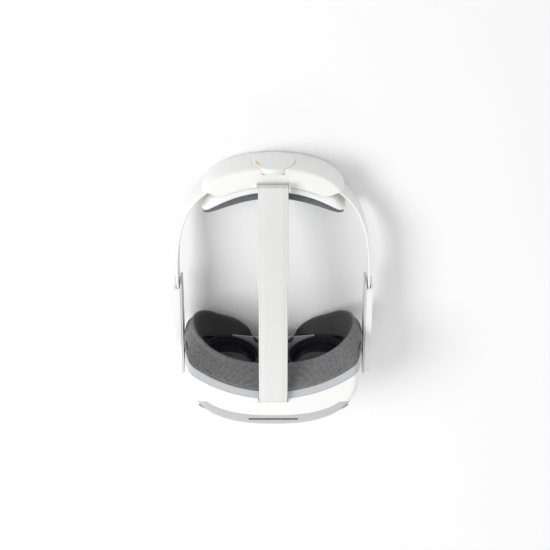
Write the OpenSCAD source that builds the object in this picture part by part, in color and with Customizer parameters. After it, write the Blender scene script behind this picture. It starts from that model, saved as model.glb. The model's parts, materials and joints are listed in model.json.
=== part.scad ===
// Standalone VR headset with a rigid halo band, a top strap and a rear battery cradle.
// +Z is up as worn, the visor looks along -Y and the wearer's left is +X.
// Parts are drawn with Y measured from the visor's front top edge, then shifted to centre the whole.

/* [Visor] */
// Width of the visor across its widest point
visor_w = 149.2; // [148:0.2:150]
// Height of the visor
visor_h = 76; // [75.5:0.5:77]
// Depth of the curved front, from its widest line to its foremost point
visor_d = 52; // [51:0.5:53]
// How far the front bulges past its own top edge
visor_bulge = 12; // [11:0.5:13]
// Thickness of the visor's walls
wall = 2.2; // [2:0.1:2.4]

/* [Optics] */
// Distance between the lens centres at rest
ipd = 70; // [69:0.5:70.5]
// Outer diameter of a lens tube
tube_d = 47; // [46:0.5:47.5]
// Angle by which each lens tube turns towards the nose
toe = 12; // [11:0.5:13]
// Height of the lens centres
lens_z = 40; // [39.5:0.5:40.5]

/* [Headband] */
// Width over the outside of the two arms
arms_w = 165; // [164.6:0.2:165.4]
// Length of an arm
arm_len = 86.5; // [85:0.5:87]
// Height of an arm
arm_h = 24; // [23.5:0.5:24.5]
// Thickness of the springy band
band_t = 2; // [1.8:0.1:2.1]
// Height of the springy band
band_h = 22.6; // [21:0.2:23]

/* [Rear cradle] */
// Width of the rear housing
rear_w = 120; // [118:1:121]
// Height of the rear housing
rear_h = 33; // [32:0.5:34]
// Y of the rear housing's rearmost point
rear_y = 210; // [208:0.5:211]
// Diameter of the fit dial
dial_d = 35.2; // [34:0.2:35.4]

/* [Top strap] */
// Width of the strap's upper layer
strap_w = 24.4; // [22:0.2:25]
// Thickness of one layer of the strap
strap_t = 1.6; // [1.2:0.1:1.8]

/* [Hidden] */

eps = 0.01;
fine = 64;

// Curve of the visor in plan
visor_a = visor_w / 2;
visor_power = 2.5;
visor_yc = visor_d - visor_bulge;
face_r = 99.4;
face_y = 124.6;
bezel_t = 8.6;
bezel_plate = 2.4;
shell_r = face_r + bezel_t;
cover_z0 = 7;
cover_y = 14;
crease_gap = 0.4;
side_power = 2.8;
front_power = 7;
side_in_top = 9;
side_in_bottom = 15;
corner_top = 20;
corner_bottom = 24;

// Face cushion
cushion_r = 101;
cushion_y = 145;
cushion_frame_t = 2;
cushion_inset = 1.5;
cushion_w = 9.2;
nose_r = 19;
nose_y = 22.6;
nose_wall = 2.4;
nose_foam = 4.6;
guard_t = 1.2;

// Lens tubes
lens_y = 41;
tube_r = tube_d / 2;
tube_bore = tube_r - 2.2;
lens_r = tube_bore - 0.05;
tube_len = 26;
skirt_y = -15;
skirt_r = 27;
ipd_in = 4;
ipd_out = 1;
screw_y = 19.5;
screw_z = 68.5;
rod_z = 12.5;
screw_r = 2;
rod_r = 1.5;
run_gap = 0.05;
screw_half = 49.5;
bearing_x = 47;
bearing_t = 2.4;
lens_cover_r = 101;

// Arms
arm_x1 = arms_w / 2;
arm_x0 = 76;
arm_y0 = 17.5;
arm_corner = 4.5;
arm_y1 = arm_y0 + arm_len;
arm_zc = 30;
arm_z0 = arm_zc - arm_h / 2;
inner_t = 1.6;
arm_wall = 1.5;
pivot_y = 34;
pivot_z = arm_zc;
pin_r = 3;
block_r = 6;
tongue_h = 14;
tongue_z = arm_z0 + 8 + tongue_h / 2;
tongue_y = 38;
band_x = 79.3;
band_y0 = arm_y1 + 2;
band_drop = 13.5;

// Rear cradle
cradle_y = 97.5;
frame_r1 = 95;
frame_r0 = 90;
pad_t = 7.2;
pad_x = 57.5;
pad_z = 2.5;
rear_b = 26;
rear_yc = rear_y - rear_b;
rear_wall = 1.8;
tip_x = 46;
tip_rise = 6.5;
wing_x = 59.5;
dial_z = 17.8;
dial_y0 = 204.9;
dial_y1 = 210.8;
shaft_r = 3;
pinion_tip = 8;
pinion_root = 6.2;
pinion_teeth = 14;

// Strap, as centre lines in Y and Z
strap_gap = 0.4;
lower_w = strap_w - 0.8;
bar_y = 194;
bar_z = 39;
bar_r = 1.8;
tail_y = 117;
lower_end = 175;
anchor_y = 13;

// The whole is centred on Y
rearmost = dial_y1;
y_mid = (rearmost - visor_bulge) / 2;

visor_white = [0.92, 0.92, 0.9];
trim_grey = [0.72, 0.73, 0.74];
foam_grey = [0.36, 0.36, 0.37];
dark = [0.08, 0.08, 0.09];
steel = [0.7, 0.7, 0.72];
board_green = [0.05, 0.25, 0.15];

function sgn_pow(v, p) = sign(v) * pow(abs(v), p);
function super_xy(a, b, n, t) = [a * sgn_pow(cos(t), 2 / n), b * sgn_pow(sin(t), 2 / n)];
function ease(t) = t * t * (3 - 2 * t);
function bezier(p, t) =
    pow(1 - t, 3) * p[0] + 3 * t * pow(1 - t, 2) * p[1] + 3 * t * t * (1 - t) * p[2] + pow(t, 3) * p[3];

module placed() {
    translate([0, -y_mid, 0]) children();
}

// side 1 is the wearer's left (+X) and side -1 the right
module on_side(side) {
    placed() mirror([side < 0 ? 1 : 0, 0, 0]) children();
}

// Extrudes a drawing of X and Z along Y, from y0 to y1
module along_y(y0, y1) {
    translate([0, y1, 0]) rotate([90, 0, 0]) linear_extrude(y1 - y0) children();
}

// Extrudes a drawing of Y and Z along X, from x0 to x1
module along_x(x0, x1) {
    translate([x0, 0, 0]) rotate([90, 0, 90]) linear_extrude(x1 - x0) children();
}

module rod_x(x0, x1, r) {
    translate([x0, 0, 0]) rotate([0, 90, 0]) cylinder(h = x1 - x0, r = r, $fn = fine);
}

module rod_y(y0, y1, r) {
    translate([0, y1, 0]) rotate([90, 0, 0]) cylinder(h = y1 - y0, r = r, $fn = fine);
}

module block(lo, hi) {
    translate(lo) cube(hi - lo);
}

module rounded_rect(lo, hi, r) {
    translate([lo[0] + r, lo[1]]) square([hi[0] - lo[0] - 2 * r, hi[1] - lo[1]]);
    translate([lo[0], lo[1] + r]) square([hi[0] - lo[0], hi[1] - lo[1] - 2 * r]);
    for (x = [lo[0] + r, hi[0] - r], y = [lo[1] + r, hi[1] - r])
        translate([x, y]) circle(r = r, $fn = 48);
}

// ---- Visor ----

module front_outline(inset) {
    w = visor_a - inset;
    intersection() {
        rounded_rect([-w, inset - 40], [w, visor_h - inset], corner_top);
        rounded_rect([-w, inset], [w, visor_h + 40], corner_bottom);
    }
}

// Roundness of the upright section: 1 at mid height, 0 at the top and bottom faces
function swell(z, power) = pow(max(0, 1 - pow(abs(2 * z / visor_h - 1), power)), 1 / power);
function half_width(z) = visor_a - (z > visor_h / 2 ? side_in_top : side_in_bottom) * (1 - swell(z, side_power));
function bulge_at(z) = visor_bulge * swell(z, front_power);

// The whole visor drawn smaller by inset all round, as slices from bottom to top
module visor_form(inset) {
    steps = 12;
    hull() for (i = [0:steps]) {
        s = visor_h * (1 - cos(180 * i / steps)) / 2;
        z = inset + s * (visor_h - 2 * inset) / visor_h;
        translate([0, 0, min(z, visor_h - inset - eps)]) linear_extrude(eps) polygon([for (a = [0:6:354])
            super_xy(half_width(s) - inset, visor_yc + bulge_at(s) - inset, visor_power, a) + [0, visor_yc]]);
    }
}

module face_cylinder(r) {
    translate([0, face_y, -1]) cylinder(h = visor_h + 2, r = r, $fn = 180);
}

module nose_notch(r, y0) {
    rod_y(y0, 80, r);
}

module camera_axis(side, upper) {
    foot = upper ? [58.6, 7.1, 68.2] : [55.6, 5.2, 9.5];
    translate([side * foot[0], foot[1], foot[2]])
        rotate([0, 0, side * camera_turn]) rotate([upper ? 45 : 125, 0, 0]) children();
}

module camera_axes() {
    for (side = [-1, 1], upper = [true, false]) camera_axis(side, upper) children();
}

module camera_holes() {
    camera_axes() translate([0, 0, -9]) cylinder(h = 24, r = camera_r + 0.3, $fn = fine);
}

// The space that the front cover fills: all that lies ahead of cover_y and outside the crease round the top face
module cover_space(inset) {
    difference() {
        block([-90, -30, cover_z0 + inset], [90, cover_y - inset, visor_h + 1]);
        translate([0, 0, -1]) linear_extrude(visor_h + 3) polygon([for (a = [0:6:354])
            super_xy(visor_a - side_in_top + crease_gap + inset, visor_yc + crease_gap + inset, visor_power, a)
                + [0, visor_yc]]);
    }
}

module button_at(x, y) {
    translate([x, y, 0]) children();
}

module button_hole(w) {
    block([-w / 2 - 0.3, -2.4, -1], [w / 2 + 0.3, 2.4, 4]);
}

power_x = 38;
volume_x = [-28, -40];
button_y = 16;
button_w = 9;
camera_r = 4.2;
camera_turn = 44;
slot_half = 12.6;
vent_half = 21;
vent_y0 = -4.9;
vent_y1 = -3.2;

module visor_shell() {
    color(visor_white) placed() difference() {
        visor_form(0);
        visor_form(wall);
        face_cylinder(shell_r);
        cover_space(0);
        camera_holes();
        block([-20, 4, -1], [20, 16, wall + 1]);
        for (x = [power_x, volume_x[0], volume_x[1]]) button_at(x, button_y) button_hole(button_w);
        block([-slot_half, anchor_y - 0.1, visor_h - wall - 1], [slot_half, anchor_y + 4.8, visor_h + 1]);
        for (side = [-1, 1]) mirror([side < 0 ? 1 : 0, 0, 0])
            translate([0, pivot_y, pivot_z]) rod_x(65, 80, block_r + 0.3);
    }
}

module front_cover() {
    color(trim_grey) placed() difference() {
        intersection() {
            visor_form(0);
            cover_space(0.3);
        }
        visor_form(wall);
        camera_holes();
        translate([0, -10, lens_z]) rod_y(-10, 6, 4.3);
        block([-vent_half, vent_y0, visor_h - 5], [vent_half, vent_y1, visor_h + 1]);
    }
}

module bezel_opening(inset) {
    difference() {
        rounded_rect([-66 + inset, 9 + inset], [66 - inset, visor_h - 8.5 - inset], 16 - inset);
        circle(r = nose_r + 3.2 + inset, $fn = fine);
    }
}

module rear_bezel() {
    color(trim_grey) placed() difference() {
        visor_form(0);
        face_cylinder(face_r);
        difference() {
            block([-90, -30, -1], [90, 90, visor_h + 1]);
            face_cylinder(shell_r - 0.05);
        }
        difference() {
            visor_form(wall);
            face_cylinder(face_r + bezel_plate);
            nose_notch(nose_r + nose_wall, nose_y - 1.4);
        }
        along_y(0, 90) bezel_opening(0);
        nose_notch(nose_r, nose_y);
        bezel_screw_places() rod_y(-20, 20, 1.3);
    }
}

module bezel_screw_places() {
    for (x = [-58, 58], z = [visor_h - 7, 7.4]) translate([x, 46, z]) children();
}

module visor_screws() {
    color(steel) placed() bezel_screw_places() {
        rod_y(-9, -3, 1.2);
    }
}

module top_vent_grille() {
    color(dark) placed() difference() {
        block([-vent_half + 0.1, vent_y0 + 0.1, visor_h - 3.6], [vent_half - 0.1, vent_y1 - 0.1, visor_h - 1.9]);
        for (x = [-18:4:18]) block([x - 1.3, vent_y0 + 0.4, visor_h - 5], [x + 1.3, vent_y1 - 0.4, visor_h]);
    }
}

module bottom_vent_grille() {
    color(dark) placed() difference() {
        block([-19.7, 4.3, 0.8], [19.7, 15.7, wall]);
        for (x = [-17:3.4:17]) block([x - 1.1, 5.6, 0], [x + 1.1, 14.4, wall + 1]);
    }
}

module strap_anchor() {
    color(trim_grey) placed() {
        difference() {
            block([-15, anchor_y - 4, visor_h - 9], [15, anchor_y + 3.4, visor_h - wall - 0.05]);
            block([-slot_half, anchor_y - 2.6, visor_h - 7.6], [slot_half, anchor_y + 2.4, visor_h]);
        }
        translate([0, anchor_y - 1.2, visor_h - 5.4]) rod_x(-slot_half, slot_half, 1.2);
    }
}

module inner_cover_openings() {
    for (side = [-1, 1]) for (dx = [-ipd_in, ipd_out])
        translate([side * (ipd / 2 + dx), lens_y, lens_z])
            rotate([0, 0, side * toe]) rod_y(-40, 20, tube_r + 0.6);
    for (side = [-1, 1]) for (up = [-1, 1]) translate([side * ipd / 2, lens_y, lens_z])
        rotate([0, 0, side * toe])
            block([-tube_r / 2, -40, up > 0 ? 10 : -tube_r - 0.6], [tube_r / 2, 20, up > 0 ? tube_r + 0.6 : -10]);
}

module inner_cover() {
    color(dark) placed() difference() {
        intersection() {
            along_y(0, 60) bezel_opening(0.15);
            face_cylinder(lens_cover_r + 1.4);
        }
        face_cylinder(lens_cover_r);
        inner_cover_openings();
    }
}

module proximity_sensor() {
    color(dark) placed() translate([0, face_y - lens_cover_r, 58]) {
        block([-5, 0.15, -3], [5, 1.6, 3]);
        rod_y(1.6, 2.2, 1.4);
    }
}

// Half of the guard that bridges the nose: distance from the middle, height, rear edge and front edge
guard = [[0, 24.4, 45.4, 27.8], [6, 23.9, 45.4, 28.6], [12, 22.5, 45, 31], [16, 20.6, 43.6, 32.2],
    [20, 18.4, 41.9, 33.5], [25, 16.5, 41.1, 35.8], [30, 15.5, 40.9, 38], [35, 15, 41, 40.6]];

function guard_half(side, column, shift) = [for (g = guard) [side * g[0], g[column] + shift]];
function guard_outline(top, low, shift) = concat(
    reversed(guard_half(-1, top, shift)), guard_half(1, top, shift),
    reversed(guard_half(1, low, -shift)), guard_half(-1, low, -shift));

module nose_guard() {
    color(trim_grey) placed() intersection() {
        along_y(20, 60) polygon(guard_outline(1, 1, guard_t / 2));
        linear_extrude(60) polygon(guard_outline(2, 3, 0));
    }
}

module cushion_outline(inset) {
    intersection() {
        front_outline(inset);
        translate([-100, inset]) square([200, 100]);
    }
}

module cushion_ring(out, wide) {
    difference() {
        cushion_outline(out);
        difference() {
            rounded_rect([-visor_a + out + wide, 13], [visor_a - out - wide, visor_h - out - wide], 14);
            circle(r = nose_r + nose_foam, $fn = fine);
        }
        circle(r = nose_r + 0.4, $fn = fine);
    }
}

module cushion_frame() {
    color(dark) placed() difference() {
        along_y(20, 80) cushion_ring(cushion_inset, 8);
        face_cylinder(face_r - cushion_frame_t);
        difference() {
            block([-90, 0, -1], [90, 90, visor_h + 1]);
            face_cylinder(face_r - 0.02);
        }
    }
}

module face_cushion() {
    color(foam_grey) placed() difference() {
        intersection() {
            along_y(20, 90) cushion_ring(cushion_inset + 0.5, cushion_w);
            face_cylinder(face_r - cushion_frame_t - 0.02);
        }
        translate([0, cushion_y, -1]) cylinder(h = visor_h + 2, r = cushion_r, $fn = 180);
        translate([0, 53, 4]) sphere(r = 25, $fn = fine);
    }
}

module tracking_cameras() {
    color(dark) placed() camera_axes() {
        cylinder(h = 3.2, r = camera_r, $fn = fine);
        translate([0, 0, -6]) cylinder(h = 6 + eps, r = 3.4, $fn = fine);
    }
}

module colour_camera() {
    color(dark) placed() translate([0, -10, 40]) {
        rod_y(-1.2, 2.8, 4);
    }
}

module main_board() {
    color(board_green) placed() {
        block([-45, 2, 12], [45, 3.6, 64]);
        for (x = [-32, 22], z = [20, 42]) block([x, 0.8, z], [x + 12, 2, z + 12]);
    }
}

module heat_sink() {
    color(steel) placed() {
        block([-37, -0.6, 19], [-20.5, 0.7, 56]);
        for (x = [-36.5:2.6:-21]) block([x, -4, 19], [x + 0.9, -0.6, 56]);
    }
}

module fan_housing() {
    color(dark) placed() translate([0, 0, 40]) {
        difference() {
            rod_y(-5.4, 1.6, 19);
            rod_y(-6, 0.8, 17.6);
            block([-6, -4.6, 10], [6, 0, 30]);
        }
        rod_y(-0.8, 0.8, 2.4);
    }
}

module fan_rotor() {
    color(trim_grey) placed() translate([0, 0, 40]) {
        difference() {
            rod_y(-5, -1, 8);
            rod_y(-0.9 - 1.2, 0, 4);
        }
        for (a = [0:40:320]) rotate([0, a, 0]) block([-0.5, -4.8, 7], [0.5, -1.3, 16.6]);
    }
}

module lens_place(side) {
    placed() translate([side * ipd / 2, lens_y, lens_z]) rotate([0, 0, side * toe]) children();
}

module lens_carriage(side) {
    lens_place(side) {
        difference() {
            union() {
                rod_y(-tube_len, 0, tube_r);
                intersection() {
                    rod_y(skirt_y - 1.5, skirt_y, skirt_r);
                    block([-40, -40, -24.6], [40, 0, 24.6]);
                }
                block([-22.6, -tube_len - 2, -22.6], [22.6, -tube_len + eps, 22.6]);
            }
            rod_y(-tube_len - 5, 5, tube_bore);
            rod_y(-3, 5, tube_bore + 1);
        }
    }
    placed() difference() {
        translate([side * 39.6, screw_y, 0]) union() {
            block([-4, -4.6, 61], [4, 4.6, 72.4]);
            block([-4, -4.6, 9], [4, 4.6, 19]);
        }
        translate([0, screw_y, screw_z]) rod_x(-80, 80, screw_r + run_gap);
        translate([0, screw_y, rod_z]) rod_x(-80, 80, rod_r + run_gap);
        translate([side * ipd / 2, lens_y, lens_z]) rotate([0, 0, side * toe]) rod_y(-60, 5, tube_r - 0.6);
    }
}

module left_lens_carriage() {
    color(dark) lens_carriage(1);
}

module right_lens_carriage() {
    color(dark) lens_carriage(-1);
}

// Half section of the lens: radius against distance along its axis, dished on both faces
function lens_face(y0, bulge) = [for (i = [0:8]) let (r = lens_r * i / 8) [r, y0 + bulge * (1 - pow(i / 8, 2))]];

module lens(side) {
    color([0.1, 0.12, 0.14]) lens_place(side) rotate([-90, 0, 0]) rotate_extrude($fn = fine)
        polygon(concat(lens_face(-5.5, 2.5), reversed(lens_face(-9, -2.5))));
}

module left_lens() {
    lens(1);
}

module right_lens() {
    lens(-1);
}

module display(side) {
    color([0.03, 0.03, 0.04]) lens_place(side) block([-21.5, -30.2, -21.5], [21.5, -28.05, 21.5]);
}

module left_display() {
    display(1);
}

module right_display() {
    display(-1);
}

module ipd_lead_screw() {
    color(steel) placed() translate([0, screw_y, screw_z]) rod_x(-screw_half, screw_half, screw_r);
}

module ipd_guide_rod() {
    color(steel) placed() translate([0, screw_y, rod_z]) rod_x(-screw_half, screw_half, rod_r);
}

module ipd_bearings() {
    color(trim_grey) placed() difference() {
        for (x = [-bearing_x, bearing_x]) {
            block([x - bearing_t / 2, screw_y - 4, 65.2], [x + bearing_t / 2, screw_y + 4, 73.4]);
            block([x - bearing_t / 2, screw_y - 3, 3], [x + bearing_t / 2, screw_y + 3, 15.6]);
        }
        translate([0, screw_y, screw_z]) rod_x(-80, 80, screw_r + run_gap);
        translate([0, screw_y, rod_z]) rod_x(-80, 80, rod_r);
    }
}

module ipd_motor() {
    color(steel) placed() translate([0, screw_y, screw_z]) difference() {
        rod_x(48.6, 57, 3.9);
        rod_x(48, screw_half + 0.4, screw_r + run_gap);
    }
}

module button(x) {
    color(trim_grey) placed() button_at(x, button_y) {
        block([-button_w / 2, -2.1, 0.3], [button_w / 2, 2.1, 2.6]);
        block([-button_w / 2 - 1, -3.1, 2.6], [button_w / 2 + 1, 3.1, 3.4]);
    }
}

module volume_up_button() {
    button(volume_x[0]);
}

module volume_down_button() {
    button(volume_x[1]);
}

module power_button() {
    button(power_x);
}

// ---- Arms ----

module hinge_block(side) {
    color(steel) on_side(side) translate([0, pivot_y, pivot_z]) difference() {
        union() {
            rod_x(68.6, 75.4, block_r);
            block([68.6, -6.5, -8], [70.4, 6.5, 8]);
        }
        rod_x(60, 80, pin_r + run_gap);
    }
}

module left_hinge_block() {
    hinge_block(1);
}

module right_hinge_block() {
    hinge_block(-1);
}

module hinge_pin(side) {
    color(steel) on_side(side) translate([0, pivot_y, pivot_z]) {
        rod_x(68, 77.5, pin_r);
        rod_x(66.8, 68, 4.6);
    }
}

module left_hinge_pin() {
    hinge_pin(1);
}

module right_hinge_pin() {
    hinge_pin(-1);
}

module arm_outline(inset, y1) {
    rounded_rect([arm_y0 + inset, arm_z0 + inset], [y1 - inset, arm_z0 + arm_h - inset], arm_corner - inset);
}

module arm_screw_places() {
    for (y = [46, 96]) translate([0, y, arm_z0 + 4]) children();
}

module arm_outer(side) {
    color(visor_white) on_side(side) difference() {
        along_x(arm_x0 + inner_t + 0.02, arm_x1) arm_outline(0, arm_y1);
        along_x(arm_x0, arm_x1 - arm_wall) arm_outline(arm_wall, arm_y1);
        block([77.7, arm_y1 - 12, tongue_z - tongue_h / 2 - 0.4],
            [arm_x1 - arm_wall, arm_y1 + 1, tongue_z + tongue_h / 2 + 0.4]);
        if (side > 0) usb_opening(0.1);
        for (i = [0:5]) block([78.6, 66 + i * 3.6, arm_z0 - 1], [80.2, 68 + i * 3.6, arm_z0 + arm_wall + 1]);
    }
}

module left_arm_outer() {
    arm_outer(1);
}

module right_arm_outer() {
    arm_outer(-1);
}

module arm_inner(side) {
    color(trim_grey) on_side(side) difference() {
        along_x(arm_x0, arm_x0 + inner_t) arm_outline(0.4, arm_y1 + 4);
        translate([0, pivot_y, pivot_z]) rod_x(70, 80, pin_r + 0.02);
        arm_screw_places() rod_x(70, 80, 1.1);
    }
}

module left_arm_inner() {
    arm_inner(1);
}

module right_arm_inner() {
    arm_inner(-1);
}

module arm_screws() {
    color(steel) for (side = [-1, 1]) on_side(side) arm_screw_places() rod_x(76.4, 80.4, 1);
}

module speaker(side) {
    color(dark) on_side(side) block([77.8, 64.5, arm_z0 + 1.7], [80.8, 87.5, arm_z0 + 7]);
}

module left_speaker() {
    speaker(1);
}

module right_speaker() {
    speaker(-1);
}

usb_y = 56;

module usb_opening(grow) {
    block([77.8 - grow, usb_y - 4.7 - grow, arm_z0 - 1], [81 + grow, usb_y + 4.7 + grow, arm_z0 + 3]);
}

module usb_port() {
    color(steel) on_side(1) difference() {
        block([77.8, usb_y - 4.7, arm_z0 + 0.2], [81, usb_y + 4.7, arm_z0 + 6.8]);
        block([78.2, usb_y - 4.3, arm_z0 - 1], [80.6, usb_y + 4.3, arm_z0 + 6.2]);
        block([79.05, usb_y - 5, arm_z0 + 20], [79.75, usb_y + 3.2, arm_z0 + 21]);
    }
}

// ---- Band ----

band_path = [[band_x, band_y0], [band_x, 140], [79, 170], [50, 188]];
band_steps = 26;

function band_point(i) = bezier(band_path, i / band_steps);
function band_dir(i) =
    let (d = bezier(band_path, min(1, (i + 0.01) / band_steps)) - bezier(band_path, max(0, (i - 0.01) / band_steps)))
    d / norm(d);
function band_zc(i) = arm_zc - band_drop * ease(min(1, max(0, i / band_steps * 1.15 - 0.1)));
function band_ring(i, t, h) =
    let (p = band_point(i), d = band_dir(i), n = [d[1], -d[0]] * t / 2, z = band_zc(i))
    [[p[0] + n[0], p[1] + n[1], z - h / 2], [p[0] + n[0], p[1] + n[1], z + h / 2],
     [p[0] - n[0], p[1] - n[1], z + h / 2], [p[0] - n[0], p[1] - n[1], z - h / 2]];

module band_strip(t, h) {
    rings = [for (i = [0:band_steps]) band_ring(i, t, h)];
    n = len(rings[0]);
    m = len(rings);
    points = [for (r = rings) for (p = r) p];
    sides = [for (j = [0:m - 2]) for (i = [0:n - 1])
        let (a = j * n + i, b = j * n + (i + 1) % n) each [[a, b, b + n], [a, b + n, a + n]]];
    polyhedron(points = points,
        faces = concat([[for (i = [n - 1:-1:0]) i]], sides, [[for (i = [0:n - 1]) (m - 1) * n + i]]));
}

module band(side) {
    color(visor_white) on_side(side) {
        band_strip(band_t, band_h);
        block([band_x - band_t / 2, tongue_y, tongue_z - tongue_h / 2],
            [band_x + band_t / 2, band_y0 + eps, tongue_z + tongue_h / 2]);
    }
}

module left_band() {
    band(1);
}

module right_band() {
    band(-1);
}

// ---- Rear cradle ----

module rear_plan(inset) {
    difference() {
        intersection() {
            translate([0, rear_yc]) scale([(rear_w / 2 - inset) / (rear_b - inset), 1, 1])
                circle(r = rear_b - inset, $fn = 120);
            polygon([[-tip_x, rear_yc + inset], [tip_x, rear_yc + inset], [62, rear_yc + tip_rise + inset],
                [62, 240], [-62, 240], [-62, rear_yc + tip_rise + inset]]);
        }
        translate([0, cradle_y]) circle(r = frame_r1 + 0.02, $fn = 180);
    }
}

module rear_cover() {
    color(visor_white) placed() difference() {
        intersection() {
            linear_extrude(rear_h) rear_plan(0);
            along_y(150, 230) rounded_rect([-rear_w / 2, 0], [rear_w / 2, rear_h], 11);
        }
        translate([0, 0, rear_wall]) linear_extrude(rear_h - 2 * rear_wall) rear_plan(rear_wall);
        translate([0, 0, dial_z]) {
            rod_y(dial_y0 - 0.4, 220, dial_d / 2 + 0.4);
            rod_y(190, 220, shaft_r + run_gap);
        }
        for (side = [-1, 1]) mirror([side < 0 ? 1 : 0, 0, 0]) band_strip(band_t + 0.5, band_h + 0.5);
        rear_screw_places() rod_y(-3, 8, 1.3);
    }
    color(visor_white) placed() translate([0, 0, dial_z]) difference() {
        rod_y(dial_y0 - 2, dial_y0 - 0.4, dial_d / 2 + 0.4);
        rod_y(190, 220, shaft_r + run_gap);
        difference() {
            block([-40, 190, -40], [40, 220, 40]);
            block([-40, 190, rear_wall - dial_z - 0.2], [40, 220, rear_h - rear_wall - dial_z + 0.2]);
        }
    }
}

module cradle_arc(r0, r1, half_w, z0, z1) {
    translate([0, cradle_y, z0]) intersection() {
        difference() {
            cylinder(h = z1 - z0, r = r1, $fn = 180);
            translate([0, 0, -1]) cylinder(h = z1 - z0 + 2, r = r0, $fn = 180);
        }
        block([-half_w, 10, -1], [half_w, 120, z1 - z0 + 1]);
    }
}

module rear_frame() {
    color(visor_white) placed() difference() {
        cradle_arc(frame_r0, frame_r1, wing_x, 0.6, rear_h - 0.4);
        difference() {
            block([-90, 100, -1], [90, 220, rear_h + 1]);
            along_y(100, 220) rounded_rect([-wing_x, 0.6], [wing_x, rear_h - 0.4], 10);
        }
        rear_screw_places() rod_y(-20, 20, 1.3);
    }
}

module rear_screw_places() {
    for (x = [-38, 38], z = [6, rear_h - 6]) translate([x, 183, z]) children();
}

module rear_screws() {
    color(steel) placed() rear_screw_places() rod_y(-1, 5, 1.2);
}

module rear_pad() {
    color([0.36, 0.38, 0.4]) placed() intersection() {
        cradle_arc(frame_r0 - pad_t, frame_r0 - 0.05, pad_x, pad_z, rear_h - pad_z);
        along_y(100, 220) rounded_rect([-pad_x, pad_z], [pad_x, rear_h - pad_z], 12);
    }
}

module battery(side) {
    color([0.2, 0.22, 0.26]) on_side(side) block([15, 192, 4.5], [42, 198.4, 28.5]);
}

module left_battery() {
    battery(1);
}

module right_battery() {
    battery(-1);
}

module battery_board() {
    color(board_green) placed() block([-12, 193.6, 4], [12, 194.8, 30]);
}

module dial() {
    color(visor_white) placed() translate([0, 0, dial_z]) difference() {
        rod_y(dial_y0, dial_y1, dial_d / 2);
        rod_y(dial_y1 - 0.8, dial_y1 + 1, dial_d / 2 - 3.5);
        for (a = [0:9:351]) rotate([0, a, 0]) translate([dial_d / 2 + 0.35, 0, 0])
            rod_y(dial_y0 - 1, dial_y1 + 1, 0.8);
        rod_y(dial_y0 - 1, dial_y0 + 4.2, shaft_r - 0.01);
    }
}

module dial_shaft() {
    color(steel) placed() translate([0, 0, dial_z]) {
        rod_y(196.4, dial_y0 + 4.1, shaft_r - 0.02);
    }
}

module dial_pinion() {
    color(trim_grey) placed() translate([0, 0, dial_z]) difference() {
        union() {
            rod_y(198.9, 201.6, pinion_root);
            for (i = [0:pinion_teeth - 1]) rotate([0, i * 360 / pinion_teeth, 0])
                block([-0.8, 198.9, pinion_root - 1], [0.8, 201.6, pinion_tip]);
        }
        rod_y(190, 210, shaft_r - 0.02);
    }
}

module dial_racks() {
    color(trim_grey) placed() for (turn = [0, 180]) translate([0, 200.2, dial_z]) rotate([0, turn, 0]) {
        block([-6, -0.9, pinion_tip + 1.9], [38, 0.9, pinion_tip + 4.4]);
        for (i = [-2:17]) block([i * 2.2 - 0.5, -0.9, pinion_tip + 0.4], [i * 2.2 + 0.6, 0.9, pinion_tip + 2]);
    }
}

module ratchet_spring() {
    color(steel) placed() translate([0, 0, dial_z]) difference() {
        rod_y(202.1, 202.6, 12);
        rod_y(200, 204, 10);
        block([-13, 200, -13], [13, 204, 2]);
    }
}

// ---- Top strap ----

module strap_loop() {
    color(trim_grey) placed() {
        translate([0, bar_y, bar_z]) rod_x(-12.6, 12.6, bar_r);
        for (side = [-1, 1]) mirror([side < 0 ? 1 : 0, 0, 0])
            along_x(12.5, 13.8) rounded_rect([bar_y - 2.8, rear_h], [bar_y + 2.8, bar_z + 2.6], 2.4);
    }
}

lower_path = [[anchor_y + 0.9, visor_h - 4], [anchor_y + 1.6, visor_h - 0.4], [anchor_y + 4, visor_h + 3],
    [24, visor_h + 5.6], [40, visor_h + 6.4], [60, visor_h + 4.4], [84, visor_h - 1.2],
    [110, visor_h - 9.4], [140, visor_h - 19.6], [lower_end, visor_h - 31.8]];

// Offsets a line of Y and Z points sideways by d
function line_dir(p, i) =
    let (d = p[min(i + 1, len(p) - 1)] - p[max(i - 1, 0)])
    d / norm(d);
function shifted(p, d) = [for (i = [0:len(p) - 1]) p[i] + [-line_dir(p, i)[1], line_dir(p, i)[0]] * d];
function reversed(p) = [for (i = [len(p) - 1:-1:0]) p[i]];

module strap_strip(path, w) {
    along_x(-w / 2, w / 2) polygon(concat(shifted(path, strap_t / 2), reversed(shifted(path, -strap_t / 2))));
}

module front_strap() {
    color(visor_white) placed() strap_strip(lower_path, lower_w);
}

lift = strap_t + strap_gap;
fold_r = bar_r + 0.15 + strap_t / 2;
tail_z = visor_h - 11.8 + lift;
upper_path = concat(
    [[tail_y, tail_z], [140, visor_h - 19.6 + lift], [lower_end, visor_h - 31.8 + lift]],
    [for (a = [60:-30:-150]) [bar_y + fold_r * cos(a), bar_z + fold_r * sin(a)]],
    [[bar_y - 6.5, bar_z + 1.4]]);

module rear_strap() {
    color(visor_white) placed() strap_strip(upper_path, strap_w);
}

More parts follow.
